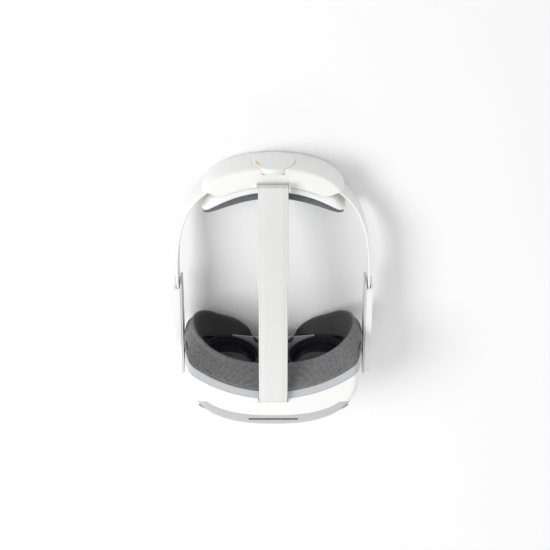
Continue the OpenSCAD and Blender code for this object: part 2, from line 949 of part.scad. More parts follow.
visor_shell();
front_cover();
rear_bezel();
top_vent_grille();
bottom_vent_grille();
inner_cover();
nose_guard();
cushion_frame();
face_cushion();
tracking_cameras();
colour_camera();
main_board();
heat_sink();
fan_housing();
fan_rotor();
ipd_motor();
ipd_lead_screw();
ipd_guide_rod();
ipd_bearings();
left_lens_carriage();
right_lens_carriage();
left_lens();
right_lens();
left_display();
right_display();
proximity_sensor();
volume_up_button();
volume_down_button();
power_button();
visor_screws();
strap_anchor();
left_hinge_block();
right_hinge_block();
left_hinge_pin();
right_hinge_pin();
left_arm_outer();
right_arm_outer();
left_arm_inner();
right_arm_inner();
left_speaker();
right_speaker();
usb_port();
arm_screws();
left_band();
right_band();
rear_cover();
rear_frame();
rear_pad();
left_battery();
right_battery();
battery_board();
dial();
dial_shaft();
dial_pinion();
dial_racks();
ratchet_spring();
strap_loop();
front_strap();
rear_strap();
rear_screws();
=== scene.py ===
"""Looks of a standalone VR headset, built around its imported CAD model.

Lengths in the tables below are millimetres in the part's own layout: Y runs back from the visor's front top
edge and Z up from the table. at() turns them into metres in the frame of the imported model.
"""

import json
import math

import bmesh
import bpy
from mathutils import Matrix, Vector


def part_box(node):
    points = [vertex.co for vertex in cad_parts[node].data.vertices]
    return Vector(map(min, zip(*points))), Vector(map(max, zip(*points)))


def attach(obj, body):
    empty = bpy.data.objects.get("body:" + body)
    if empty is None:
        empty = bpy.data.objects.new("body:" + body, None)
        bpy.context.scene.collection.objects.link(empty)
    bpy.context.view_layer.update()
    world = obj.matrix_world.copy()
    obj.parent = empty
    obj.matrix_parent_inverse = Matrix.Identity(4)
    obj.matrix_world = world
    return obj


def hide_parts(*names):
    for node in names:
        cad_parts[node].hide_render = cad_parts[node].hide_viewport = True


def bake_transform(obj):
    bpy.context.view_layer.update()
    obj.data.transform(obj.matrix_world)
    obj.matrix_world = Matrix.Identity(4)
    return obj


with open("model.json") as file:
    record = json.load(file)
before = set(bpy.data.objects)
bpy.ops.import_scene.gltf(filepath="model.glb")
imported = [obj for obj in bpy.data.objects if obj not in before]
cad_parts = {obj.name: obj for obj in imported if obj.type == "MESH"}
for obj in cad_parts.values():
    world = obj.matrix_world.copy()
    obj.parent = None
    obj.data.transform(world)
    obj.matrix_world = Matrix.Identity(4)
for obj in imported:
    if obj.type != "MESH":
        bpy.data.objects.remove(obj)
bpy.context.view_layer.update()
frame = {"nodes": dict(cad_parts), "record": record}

# ---- Driving sizes, as in the CAD model ----

VISOR_H = 76.0
VISOR_A = 74.6
VISOR_YC = 40.0
VISOR_POWER = 2.5
BULGE = 12.0
SIDE_POWER, FRONT_POWER = 2.8, 7.0
SIDE_IN_TOP, SIDE_IN_BOTTOM = 9.0, 15.0
FACE_Y, FACE_R = 124.6, 99.4
BEZEL_T = 8.6
BEZEL_LIP = 1.5  # how far short of its CAD edge the bezel stops, where the foam laps over it
COVER_Z0, COVER_Y = 7.0, 14.0
WALL = 2.2
NOSE_R = 19.0
CRADLE_Y, FRAME_R0, FRAME_R1 = 97.5, 90.0, 95.0
REAR_W, REAR_H, REAR_YC, REAR_B = 118.4, 33.0, 184.0, 26.0
DIAL_Z, DIAL_R, DIAL_Y0, DIAL_Y1 = 17.8, 17.6, 204.9, 210.8
STRAP_W, STRAP_T = 24.4, 1.6
BAR_Y, BAR_Z, BAR_R = 194.0, 39.0, 1.8
ANCHOR_Y = 13.0
LOWER_END, TAIL_Y = 175.0, 117.0

Y0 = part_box("front_cover")[0].y * 1000 + BULGE


def at(x, y, z):
    """A point of the layout, in metres in the model's frame."""
    return Vector((x / 1000, (Y0 + y) / 1000, z / 1000))


# ---- Camera ----

CAMERA_TILT = math.radians(30)  # from straight overhead, leaning to the rear of the headset
CAMERA_DISTANCE = 1250.0
CAMERA_LENS = 99.5
CAMERA_AIM = (1.4, 125, 40)
CAMERA_DROP = 0.0081  # metres the aim goes down in the picture


def make_camera():
    """Looks down from behind the headset, with the visor at the foot of the frame."""
    right = Vector((1, 0, 0))
    up = Vector((0, math.cos(CAMERA_TILT), -math.sin(CAMERA_TILT)))
    back = Vector((0, math.sin(CAMERA_TILT), math.cos(CAMERA_TILT)))
    aim = at(*CAMERA_AIM) - up * CAMERA_DROP
    data = bpy.data.cameras.new("camera")
    data.lens = CAMERA_LENS
    data.clip_start = 0.05
    camera = bpy.data.objects.new("camera", data)
    bpy.context.scene.collection.objects.link(camera)
    turn = Matrix((right, up, back)).transposed().to_4x4()
    camera.matrix_world = Matrix.Translation(aim + back * CAMERA_DISTANCE / 1000) @ turn
    bpy.context.scene.camera = camera


make_camera()

# ---- Materials ----


class Nodes:
    """A short way to build a node material."""

    def __init__(self, name):
        self.material = bpy.data.materials.new(name)
        self.material.use_nodes = True
        self.tree = self.material.node_tree
        self.shader = self.tree.nodes["Principled BSDF"]
        self.coords = self.tree.nodes.new("ShaderNodeTexCoord")

    def add(self, kind, **values):
        node = self.tree.nodes.new("ShaderNode" + kind)
        for key, value in values.items():
            setattr(node, key, value)
        return node

    def link(self, source, target):
        self.tree.links.new(source, target)

    def output(self, source, name):
        """Links source to one of the shader's own sockets."""
        self.link(source, self.shader.inputs[name])

    def noise(self, scale, detail=2.0, rough=0.5):
        node = self.add("TexNoise")
        self.link(self.coords.outputs["Object"], node.inputs["Vector"])
        node.inputs["Scale"].default_value = scale
        node.inputs["Detail"].default_value = detail
        node.inputs["Roughness"].default_value = rough
        return node.outputs["Fac"]

    def math(self, operation, a, b=None):
        node = self.add("Math", operation=operation)
        for socket, value in zip(node.inputs, (a, b)):
            if value is None:
                continue
            if isinstance(value, (int, float)):
                socket.default_value = value
            else:
                self.link(value, socket)
        return node.outputs[0]

    def remap(self, value, low, high, from_low=0.0, from_high=1.0):
        node = self.add("MapRange")
        self.link(value, node.inputs["Value"])
        node.inputs["From Min"].default_value = from_low
        node.inputs["From Max"].default_value = from_high
        node.inputs["To Min"].default_value = low
        node.inputs["To Max"].default_value = high
        return node.outputs["Result"]

    def mix(self, factor, dark, light):
        node = self.add("Mix", data_type="RGBA")
        self.link(factor, node.inputs["Factor"])
        for socket, value in ((node.inputs["A"], dark), (node.inputs["B"], light)):
            if isinstance(value, tuple):
                socket.default_value = (*value, 1.0)
            else:
                self.link(value, socket)
        return node.outputs["Result"]

    def set(self, **values):
        for key, value in values.items():
            self.shader.inputs[key.replace("_", " ")].default_value = value

    def bump(self, height, strength, distance, below=None):
        node = self.add("Bump")
        node.inputs["Strength"].default_value = strength
        node.inputs["Distance"].default_value = distance
        self.link(height, node.inputs["Height"])
        if below:
            self.link(below, node.inputs["Normal"])
        return node.outputs["Normal"]


def shade(colour, factor):
    return tuple(min(1.0, c * factor) for c in colour)


def plastic(name, colour, roughness, grain=0.12, spread=0.05, coat=0.0):
    """Moulded plastic: fine spark-eroded grain, slow tone changes and faint handling marks."""
    n = Nodes(name)
    tone = n.mix(n.noise(22.0, 3.0), shade(colour, 1 - spread), shade(colour, 1 + spread))
    n.output(tone, "Base Color")
    marks = n.remap(n.noise(160.0, 6.0, 0.7), roughness - 0.06, roughness + 0.08, 0.3, 0.7)
    n.output(marks, "Roughness")
    n.output(n.bump(n.noise(5200.0, 2.0), grain, 0.00006), "Normal")
    n.set(Coat_Weight=coat, Coat_Roughness=0.25)
    return n.material


def metal(name, colour, roughness):
    """Turned or pressed metal with fine directional scratches."""
    n = Nodes(name)
    stretch = n.add("Mapping")
    n.link(n.coords.outputs["Object"], stretch.inputs["Vector"])
    stretch.inputs["Scale"].default_value = (90.0, 2600.0, 2600.0)
    lines = n.add("TexNoise")
    n.link(stretch.outputs["Vector"], lines.inputs["Vector"])
    lines.inputs["Scale"].default_value = 1.0
    n.output(n.mix(lines.outputs["Fac"], shade(colour, 0.85), shade(colour, 1.1)), "Base Color")
    n.output(n.remap(lines.outputs["Fac"], roughness - 0.08, roughness + 0.1), "Roughness")
    n.output(n.bump(lines.outputs["Fac"], 0.15, 0.00005), "Normal")
    n.set(Metallic=1.0)
    return n.material


def knit(name, dark, light, pitch, depth, fleck):
    """Knitted cover with flecked yarn. Its loops run in all three directions, so every face shows them."""
    n = Nodes(name)
    wobble = n.add("Mix", data_type="VECTOR")  # its vector sockets are inputs 4 and 5 and output 1
    jitter = n.add("TexNoise")
    n.link(n.coords.outputs["Object"], jitter.inputs["Vector"])
    jitter.inputs["Scale"].default_value = 700.0
    wobble.inputs["Factor"].default_value = 0.00035
    n.link(n.coords.outputs["Object"], wobble.inputs[4])
    n.link(jitter.outputs["Color"], wobble.inputs[5])
    parts = n.add("SeparateXYZ")
    n.link(wobble.outputs[1], parts.inputs["Vector"])
    wave = 2 * math.pi / pitch
    x, y, z = (n.math("MULTIPLY", axis, wave) for axis in parts.outputs)
    loops = None
    for a, b in ((x, y), (y, z), (z, x)):
        term = n.math("MULTIPLY", n.math("SINE", a), n.math("COSINE", b))
        loops = term if loops is None else n.math("ADD", loops, term)
    loops = n.remap(loops, 0.0, 1.0, -1.2, 1.2)
    yarn = n.noise(fleck, 3.0, 0.7)
    mottle = n.noise(fleck * 0.55, 1.0, 0.5)
    heather = n.math("ADD", n.math("MULTIPLY", loops, 0.18), n.math("MULTIPLY", yarn, 0.5))
    heather = n.math("ADD", heather, n.math("MULTIPLY", mottle, 0.6))
    heather = n.remap(heather, 0.0, 1.0, 0.42, 0.86)
    worn = n.noise(14.0, 3.0)
    near = n.mix(heather, dark, light)
    n.output(n.mix(n.remap(worn, 0.0, 0.22, 0.35, 0.75), near, shade(light, 1.05)), "Base Color")
    fine = n.bump(yarn, 0.25, 0.0002)
    lumps = n.bump(mottle, 0.6, depth, fine)
    n.output(n.bump(loops, 0.35, depth * 0.6, lumps), "Normal")
    n.output(n.remap(yarn, 0.82, 1.0), "Roughness")
    n.set(Sheen_Weight=0.25, Sheen_Roughness=0.6)
    return n.material


def webbing(name, colour, pitch):
    """Woven tape with ribs across it, by its UVs in millimetres: u across and v along."""
    n = Nodes(name)
    parts = n.add("SeparateXYZ")
    n.link(n.coords.outputs["UV"], parts.inputs["Vector"])
    u, v = parts.outputs[0], parts.outputs[1]
    wave = 2 * math.pi / pitch
    warp = n.math("SINE", n.math("MULTIPLY", u, wave))
    weft = n.math("SINE", n.math("MULTIPLY", v, wave * 0.8))
    cross = n.math("MULTIPLY", warp, weft)
    weave = n.remap(n.math("ADD", cross, n.math("MULTIPLY", weft, 0.35)), 0.0, 1.0, -1.35, 1.35)
    yarn = n.noise(2600.0, 3.0)
    tone = n.mix(n.math("ADD", n.math("MULTIPLY", weave, 0.6), n.math("MULTIPLY", yarn, 0.4)),
                 shade(colour, 0.86), shade(colour, 1.05))
    n.output(n.mix(n.remap(n.noise(12.0), 0.0, 0.18, 0.4, 0.7), tone, shade(colour, 0.84)), "Base Color")
    fine = n.bump(yarn, 0.2, 0.0001)
    n.output(n.bump(weave, 0.35, 0.00012, fine), "Normal")
    n.output(n.remap(yarn, 0.7, 0.92), "Roughness")
    n.set(Sheen_Weight=0.2, Sheen_Roughness=0.5)
    return n.material


def optic(name, colour, painted_grazing_sheen, gloss=0.3):
    """Coated lens or window: dark and sharp, with faint dust and a painted reflection, where the base colour
    turns to a coloured sheen at grazing angles.
    """
    n = Nodes(name)
    weight = n.add("LayerWeight")
    weight.inputs["Blend"].default_value = 0.35
    # Painted reflection of the coating: plain colour face-on, a painted coloured sheen edge-on
    n.output(n.mix(weight.outputs["Facing"], colour, painted_grazing_sheen), "Base Color")
    n.output(n.remap(n.noise(900.0, 5.0, 0.8), 0.03, 0.14, 0.45, 0.7), "Roughness")
    n.set(Coat_Weight=gloss, Coat_Roughness=0.06, Specular_IOR_Level=0.25)
    return n.material


def circuit(name):
    """Solder mask with the tracks showing through it."""
    n = Nodes(name)
    cells = n.add("TexVoronoi", feature="DISTANCE_TO_EDGE", distance="MANHATTAN")
    n.link(n.coords.outputs["Object"], cells.inputs["Vector"])
    cells.inputs["Scale"].default_value = 420.0
    tracks = n.remap(cells.outputs["Distance"], 0.0, 1.0, 0.02, 0.06)
    n.output(n.mix(tracks, (0.02, 0.16, 0.07), (0.006, 0.07, 0.03)), "Base Color")
    n.output(n.bump(tracks, 0.3, 0.00005), "Normal")
    n.set(Roughness=0.35)
    return n.material


WHITE = (0.86, 0.86, 0.855)
GREY = (0.50, 0.51, 0.52)
BLACK = (0.018, 0.018, 0.02)

white_plastic = plastic("white_plastic", WHITE, 0.42, grain=0.10, spread=0.015, coat=0.15)
grey_plastic = plastic("grey_plastic", GREY, 0.45, grain=0.14, spread=0.03, coat=0.1)
# Painted shade: a darker grey copy of the plastic for the arms' inner walls, where shade falls
painted_shade_liner_plastic = plastic("painted_shade_liner_plastic", (0.62, 0.62, 0.62), 0.5, grain=0.2, spread=0.03)
dark_plastic = plastic("dark_plastic", BLACK, 0.55, grain=0.3, spread=0.2)
guard_rubber = plastic("guard_rubber", (0.42, 0.43, 0.44), 0.7, grain=0.25, spread=0.05)
amber_plastic = plastic("amber_plastic", (0.72, 0.42, 0.10), 0.4, grain=0.05, spread=0.05)
window_black = optic("window_black", (0.004, 0.004, 0.005), (0.02, 0.02, 0.03))
lens_coat = optic("lens_coat", (0.006, 0.006, 0.008), (0.018, 0.018, 0.028), 0.12)
panel_black = optic("panel_black", (0.006, 0.006, 0.008), (0.02, 0.025, 0.03))
steel = metal("steel", (0.52, 0.52, 0.54), 0.3)
alloy = metal("alloy", (0.62, 0.62, 0.64), 0.35)
board = circuit("circuit_board")
wrap = plastic("battery_wrap", (0.03, 0.04, 0.06), 0.3, grain=0.05, spread=0.1, coat=0.4)
foam_knit = knit("foam_knit", (0.055, 0.055, 0.057), (0.215, 0.215, 0.22), 0.0016, 0.00045, 1500.0)
foam_lining = plastic("foam_lining", (0.062, 0.062, 0.065), 0.85, grain=0.8, spread=0.18)
pad_knit = knit("pad_knit", (0.055, 0.062, 0.068), (0.15, 0.165, 0.178), 0.0014, 0.0004, 1700.0)
tape = webbing("strap_webbing", (0.78, 0.78, 0.775), 0.9)

BY_SLOT = {
    "white_plastic": white_plastic, "grey_plastic": grey_plastic, "guard_rubber": guard_rubber,
    "dark_plastic": dark_plastic, "foam_fabric": foam_knit, "pad_fabric": pad_knit, "strap_fabric": tape,
    "camera_glass": window_black, "lens_glass": lens_coat, "display_panel": panel_black, "metal": steel,
    "alloy": alloy, "circuit": board, "battery_wrap": wrap,
}


def dress_cad():
    """Every CAD node that stays gets its slot's material, softened edges and smooth curves."""
    slots = {s["node"]: s["material_slot"] for s in frame["record"]["subparts"]}
    for name, obj in frame["nodes"].items():
        obj.data.materials.clear()
        obj.data.materials.append(BY_SLOT[slots[name]])
        weld = obj.modifiers.new("weld", "WELD")
        weld.merge_threshold = 0.00001
        bevel = obj.modifiers.new("soft_edges", "BEVEL")
        bevel.width = 0.0003
        bevel.segments = 2
        bevel.limit_method = "ANGLE"
        bevel.angle_limit = math.radians(40)
        for polygon in obj.data.polygons:
            polygon.use_smooth = True
        normals = obj.modifiers.new("even_normals", "WEIGHTED_NORMAL")
        normals.keep_sharp = True
    # The arms' inner walls take the darker grey copy, as painted shade
    for name in ("left_arm_inner", "right_arm_inner"):
        frame["nodes"][name].data.materials[0] = painted_shade_liner_plastic
    frame["nodes"]["strap_loop"].data.materials[0] = white_plastic
    for name in ("left_arm_outer", "right_arm_outer"):
        frame["nodes"][name].modifiers["soft_edges"].width = 0.0007


dress_cad()

# ---- Mesh helpers ----


def mesh_piece(name, points, faces, material, smooth=True):
    mesh = bpy.data.meshes.new(name)
    mesh.from_pydata([at(*p) for p in points], [], faces)
    mesh.materials.append(material)
    obj = bpy.data.objects.new(name, mesh)
    bpy.context.scene.collection.objects.link(obj)
    b = bmesh.new()
    b.from_mesh(mesh)
    bmesh.ops.remove_doubles(b, verts=b.verts, dist=0.000005)
    bmesh.ops.recalc_face_normals(b, faces=b.faces)
    for face in b.faces:
        face.smooth = smooth
    b.to_mesh(mesh)
    b.free()
    return obj


def net(rows, round_rows=False, round_columns=False, cap=False):
    """Points and quads of a net of rows of equal length. cap closes the first and last row with one face."""
    width = len(rows[0])
    points = [p for row in rows for p in row]
    faces = []
    last_row = len(rows) if round_columns else len(rows) - 1
    last = width if round_rows else width - 1
    for j in range(last_row):
        a, b = j * width, (j + 1) % len(rows) * width
        for i in range(last):
            k = (i + 1) % width
            faces.append((a + i, a + k, b + k, b + i))
    if cap:
        faces.append(tuple(range(width - 1, -1, -1)))
        faces.append(tuple((len(rows) - 1) * width + i for i in range(width)))
    return points, faces


def modify(obj, kind, **values):
    modifier = obj.modifiers.new(kind.lower(), kind)
    for key, value in values.items():
        setattr(modifier, key, value)
    return modifier


def apply_modifiers(obj):
    bpy.context.view_layer.update()
    graph = bpy.context.evaluated_depsgraph_get()
    mesh = bpy.data.meshes.new_from_object(obj.evaluated_get(graph))
    old = obj.data
    obj.modifiers.clear()
    obj.data = mesh
    bpy.data.meshes.remove(old)


def cut(obj, cutters):
    """Takes the cutters out of obj and removes them."""
    for cutter in cutters:
        modify(obj, "BOOLEAN", object=cutter, operation="DIFFERENCE", solver="EXACT")
    apply_modifiers(obj)
    for cutter in cutters:
        bpy.data.objects.remove(cutter)


def soften(obj, width, angle=40):
    modify(obj, "BEVEL", width=width / 1000, segments=2, limit_method="ANGLE",
           angle_limit=math.radians(angle), harden_normals=True)


def box_cutter(low, high):
    (x0, y0, z0), (x1, y1, z1) = low, high
    rows = [[(x, y, z) for x, y in ((x0, y0), (x1, y0), (x1, y1), (x0, y1))] for z in (z0, z1)]
    return mesh_piece("cutter", *net(rows, round_rows=True, cap=True), dark_plastic, smooth=False)


def tube_along(path, radius, sides=24):
    """Rings of a straight or bent round bar through the points of path."""
    rows = []
    for i, p in enumerate(path):
        ahead = Vector(path[min(i + 1, len(path) - 1)]) - Vector(path[max(i - 1, 0)])
        turn = ahead.to_track_quat("Z", "Y")
        ring = [turn @ Vector((radius * math.cos(a), radius * math.sin(a), 0)) + Vector(p)
                for a in (2 * math.pi * k / sides for k in range(sides))]
        rows.append([tuple(q) for q in ring])
    return rows


def bar(name, path, radius, material, sides=24):
    return mesh_piece(name, *net(tube_along(path, radius, sides), round_rows=True, cap=True), material)


def smooth_line(points, steps):
    """A Catmull-Rom curve through points, with that many steps between each pair."""
    p = [Vector(points[0]) * 2 - Vector(points[1])] + [Vector(q) for q in points]
    p.append(p[-1] * 2 - p[-2])
    out = []
    for a, b, c, d in zip(p, p[1:], p[2:], p[3:]):
        for i in range(steps):
            t = i / steps
            out.append(0.5 * (2 * b + (c - a) * t + (2 * a - 5 * b + 4 * c - d) * t * t
                              + (3 * b - a - 3 * c + d) * t * t * t))
    out.append(p[-2])
    return out


# ---- Form of the visor ----


def swell(z, power):
    return max(0.0, 1 - abs(2 * z / VISOR_H - 1) ** power) ** (1 / power)


def form_axes(z, inset):
    """Half width, and depth ahead of its widest line, of the visor at height z."""
    edge = SIDE_IN_TOP if z > VISOR_H / 2 else SIDE_IN_BOTTOM
    return (VISOR_A - edge * (1 - swell(z, SIDE_POWER)) - inset,
            VISOR_YC + BULGE * swell(z, FRONT_POWER) - inset)


def form_point(z, turn, inset=0.0):
    """A point of the visor's outline at height z. turn runs from -90 degrees at the nose to 90 at the back."""
    a, b = form_axes(z, inset)
    share = 2 / VISOR_POWER
    c, s = math.cos(turn), math.sin(turn)
    return a * abs(c) ** share, VISOR_YC + math.copysign(abs(s) ** share, s) * b


def face_arc(x, r):
    return FACE_Y - math.sqrt(max(0.0, r * r - x * x))


def turn_at(z, meets, inset=0.0):
    """The turn at which the outline meets a rear limit: meets(x, y) is negative ahead of it."""
    low, high = -math.pi / 2, math.pi / 2
    for _ in range(40):
        middle = (low + high) / 2
        if meets(*form_point(z, middle, inset)) < 0:
            low = middle
        else:
            high = middle
    return (low + high) / 2


def section(z, r, front, side):
    """The visor's outline at height z, round the front between its two cuts, on the arc of radius r."""
    cover = turn_at(z, lambda x, y: y - COVER_Y)
    rear = turn_at(z, lambda x, y: y - face_arc(x, r))
    turns = [-math.pi / 2 + (cover + math.pi / 2) * i / front for i in range(front)]
    turns += [cover + (rear - cover) * i / side for i in range(side + 1)]
    right = [form_point(z, t) for t in turns]
    return [(-x, y, z) for x, y in reversed(right[1:])] + [(x, y, z) for x, y in right]


def spaced(line, count):
    """count points evenly spaced along an open line, from its first point and short of its last."""
    steps = [0.0]
    for a, b in zip(line, line[1:]):
        steps.append(steps[-1] + math.dist(a, b))
    out, j = [], 0
    for i in range(count):
        s = steps[-1] * i / count
        while steps[j + 1] < s:
            j += 1
        share = (s - steps[j]) / max(1e-9, steps[j + 1] - steps[j])
        out.append(tuple(p + (q - p) * share for p, q in zip(line[j], line[j + 1])))
    return out


# Points over half the nose, from there to the temple, and on to the middle of the brow
SEGMENTS = (16, 56, 56)


def whole_loop(arch, lower, upper):
    """A loop from its three right-hand lines, begun over the nose, with the same share of points on each."""
    half = [p for line, count in zip((arch, lower, upper), SEGMENTS) for p in spaced(line, count)]
    half.append(tuple(upper[-1]))
    return half + [(-p[0], *p[1:]) for p in reversed(half[1:-1])]


def nose_arch(radius, foot_z):
    """From over the nose down to the height of the foot, and the X of that foot."""
    foot = math.sqrt(max(0.0, radius ** 2 - foot_z ** 2))
    end = math.asin(foot / radius)
    return [(radius * math.sin(end * i / 14), radius * math.cos(end * i / 14)) for i in range(15)], foot


def rim(r, inset, nose):
    """The closed outline of the visor's form where the arc of radius r cuts it."""
    steps = 44
    side = []
    for i in range(steps + 1):
        level = VISOR_H * (1 - math.cos(math.pi * i / steps)) / 2
        turn = turn_at(level, lambda x, y: y - face_arc(x, r), inset)
        side.append((form_point(level, turn, inset)[0], inset + level * (VISOR_H - 2 * inset) / VISOR_H))
    arch, foot = nose_arch(nose, inset)
    floor = [(foot + (side[0][0] - foot) * i / 20, inset) for i in range(20)]
    half = steps // 2
    roof = [(side[-1][0] * (1 - i / 24), side[-1][1]) for i in range(1, 25)]
    loop = whole_loop(arch, floor + side[:half + 1], side[half:] + roof)
    return [(x, face_arc(x, r), z) for x, z in loop]


def rounded_loop(half_w, z0, z1, radius, nose):
    """A rounded rectangle about X = 0 with a nose arch in its lower side, as X and Z."""
    arch, foot = nose_arch(nose, z0)
    corners = [[(half_w - radius + radius * math.cos(math.radians(start + a)),
                 cz + radius * math.sin(math.radians(start + a))) for a in range(0, 91, 6)]
               for cz, start in ((z0 + radius, -90), (z1 - radius, 0))]
    middle = (half_w, (z0 + z1) / 2)
    return whole_loop(arch, [(foot, z0)] + corners[0] + [middle], [middle] + corners[1] + [(0.0, z1)])


# ---- Visor shell, front cover and bezel ----

FRONT_STEPS, SIDE_STEPS = 34, 14
STRAP_SLOT_HALF = 12.4
BUTTON_X = (38, -28, -40)
HINGE_Y, HINGE_Z, HINGE_HOLE_R = 34, 30, 6.3
CORNER_CAMERA_HOLE_R, COLOUR_CAMERA_HOLE_R = 4.55, 4.3


def visor_levels():
    count = 40
    levels = [VISOR_H * (1 - math.cos(math.pi * i / count)) / 2 for i in range(count + 1)]
    nearest = min(range(len(levels)), key=lambda i: abs(levels[i] - COVER_Z0))
    levels[nearest] = COVER_Z0
    return levels


def camera_axis(side, upper):
    """Foot and direction of a corner camera."""
    x, y, z = (58.6, 7.1, 68.2) if upper else (55.6, 5.2, 9.5)
    foot = Vector((side * x, y, z))
    tilt = Matrix.Rotation(math.radians(45 if upper else 125), 3, "X")
    turn = Matrix.Rotation(math.radians(side * 44), 3, "Z") @ tilt
    return foot, turn @ Vector((0, 0, 1))


def camera_cutters(radius):
    cutters = []
    for side in (-1, 1):
        for upper in (True, False):
            foot, way = camera_axis(side, upper)
            path = [tuple(foot - way * 9), tuple(foot + way * 16)]
            cutters.append(bar("cutter", path, radius, dark_plastic, 40))
    return cutters


def vent_cutter():
    """The long slot with round ends in the top edge of the front cover."""
    half, y, r = 20.2, -4.05, 0.85
    ring = [(side * half + side * r * math.cos(math.radians(a)), y + side * r * math.sin(math.radians(a)))
            for side in (1, -1) for a in range(-90, 91, 15)]
    rows = [[(x, y, z) for x, y in ring] for z in (70, 80)]
    return mesh_piece("cutter", *net(rows, round_rows=True, cap=True), dark_plastic, smooth=False)


def build_visor():
    levels = visor_levels()
    rows = [section(z, FACE_R + BEZEL_T, FRONT_STEPS, SIDE_STEPS) for z in levels]
    width = len(rows[0])
    centre = width // 2
    points, faces = net(rows)

    def in_cover(face):
        column, row = face[0] % width, face[0] // width
        return levels[row] >= COVER_Z0 - 0.01 and centre - FRONT_STEPS <= column < centre + FRONT_STEPS

    shell_faces = [f for f in faces if not in_cover(f)]
    cover_faces = [f for f in faces if in_cover(f)]
    for row in (rows[0], rows[-1]):
        back = [row[0][0] + (row[-1][0] - row[0][0]) * i / (width - 1) for i in range(width)]
        arc = [(x, face_arc(x, FACE_R + BEZEL_T), row[0][2]) for x in back]
        cap = [[tuple(Vector(a).lerp(Vector(b), k / 8)) for a, b in zip(row, arc)] for k in range(9)]
        extra, quads = net(cap)
        shell_faces += [tuple(i + len(points) for i in q) for q in quads]
        points += extra
    shell = mesh_piece("visor_shell_skin", points, shell_faces, white_plastic)
    modify(shell, "SOLIDIFY", thickness=WALL / 1000, offset=-1)
    apply_modifiers(shell)
    cutters = [box_cutter((-STRAP_SLOT_HALF, ANCHOR_Y + 0.2, 70), (STRAP_SLOT_HALF, ANCHOR_Y + 4.8, 80)),
               box_cutter((-20, 4, -2), (20, 16, 5))]
    cutters += [box_cutter((x - 4.8, 13.6, -2), (x + 4.8, 18.4, 5)) for x in BUTTON_X]
    for side in (-1, 1):
        hinge_line = [(side * x, HINGE_Y, HINGE_Z) for x in (66, 80)]
        cutters.append(bar("cutter", hinge_line, HINGE_HOLE_R, dark_plastic, 40))
    cut(shell, cutters + camera_cutters(CORNER_CAMERA_HOLE_R))
    soften(shell, 0.35)
    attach(shell, "visor")
    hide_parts("visor_shell")

    cover = mesh_piece("front_cover_skin", points, cover_faces, grey_plastic)
    modify(cover, "SOLIDIFY", thickness=WALL / 1000, offset=-1)
    apply_modifiers(cover)
    eye = bar("cutter", [(0, -20, 40), (0, 0, 40)], COLOUR_CAMERA_HOLE_R, dark_plastic, 40)
    cut(cover, [vent_cutter(), eye] + camera_cutters(CORNER_CAMERA_HOLE_R))
    soften(cover, 0.3)
    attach(cover, "visor")
    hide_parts("front_cover")


def build_bezel():
    """The ring behind the shell: a rounded outer band, a rear face and the wall of its opening."""
    r0 = FACE_R + BEZEL_T
    rear = FACE_R + BEZEL_LIP
    rings = [rim(r0 - 0.25, 2.0, NOSE_R), rim(r0 - 0.25, 0.25, NOSE_R), rim(r0 - 0.6, 0.0, NOSE_R)]
    rings += [rim(r0 - (BEZEL_T - BEZEL_LIP) * k / 6, 0.0, NOSE_R) for k in range(1, 6)]
    for a in range(0, 91, 15):
        turn = math.radians(a)
        rings.append(rim(rear + 0.8 - 0.8 * math.sin(turn), 0.8 * (1 - math.cos(turn)), NOSE_R))
    opening = rounded_loop(66, 9, VISOR_H - 8.5, 16, NOSE_R + 3.2)
    for depth in (0.0, 1.0, 2.4):
        rings.append([(x, face_arc(x, rear + depth), z) for x, z in opening])
    inside = rim(rear + 2.4, WALL, NOSE_R + 2.4)
    rings.append(inside)
    rings.append([(x, face_arc(x, FACE_R + BEZEL_T - 0.2), z) for x, _, z in inside])
    bezel = mesh_piece("rear_bezel_skin", *net(rings, round_rows=True, round_columns=True), grey_plastic)
    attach(bezel, "visor")
    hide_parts("rear_bezel")


# ---- Face cushion ----

# The lip that meets the face, from over the nose to the temple and to the middle of the brow, as X, Z and Y
LIP_ARCH = [(0, 24, 40.5), (9, 22.5, 41.2), (18.1, 17, 43.1), (20.6, 12, 45.6)]
LIP_LOWER = [(20.6, 12, 45.6), (24.3, 8, 48.2), (30.4, 5.8, 51.7), (37.1, 6, 55.5), (47.5, 8.5, 60.2),
             (56, 12.5, 65.5), (62.5, 18, 69), (67, 26, 71.2), (69.4, 36, 72)]
LIP_UPPER = [(69.4, 36, 72), (69, 45, 70.6), (66.4, 53, 67.6), (61, 59.4, 63.4), (53.6, 63.2, 58),
             (42, 65.2, 51.8), (29, 66, 47.5), (15, 66, 44.8), (0, 66, 43.9)]
LIP_R = 2.3
WALL_ROWS = 10
KNIT, LINING, TUCK = 0, 1, 2  # the cushion's material slots


def face_outward(x, z):
    """Away from the eyes, in the plane of X and Z. Over the nose that is down."""
    return Vector((x * 0.6, 0, z - 40)).normalized()


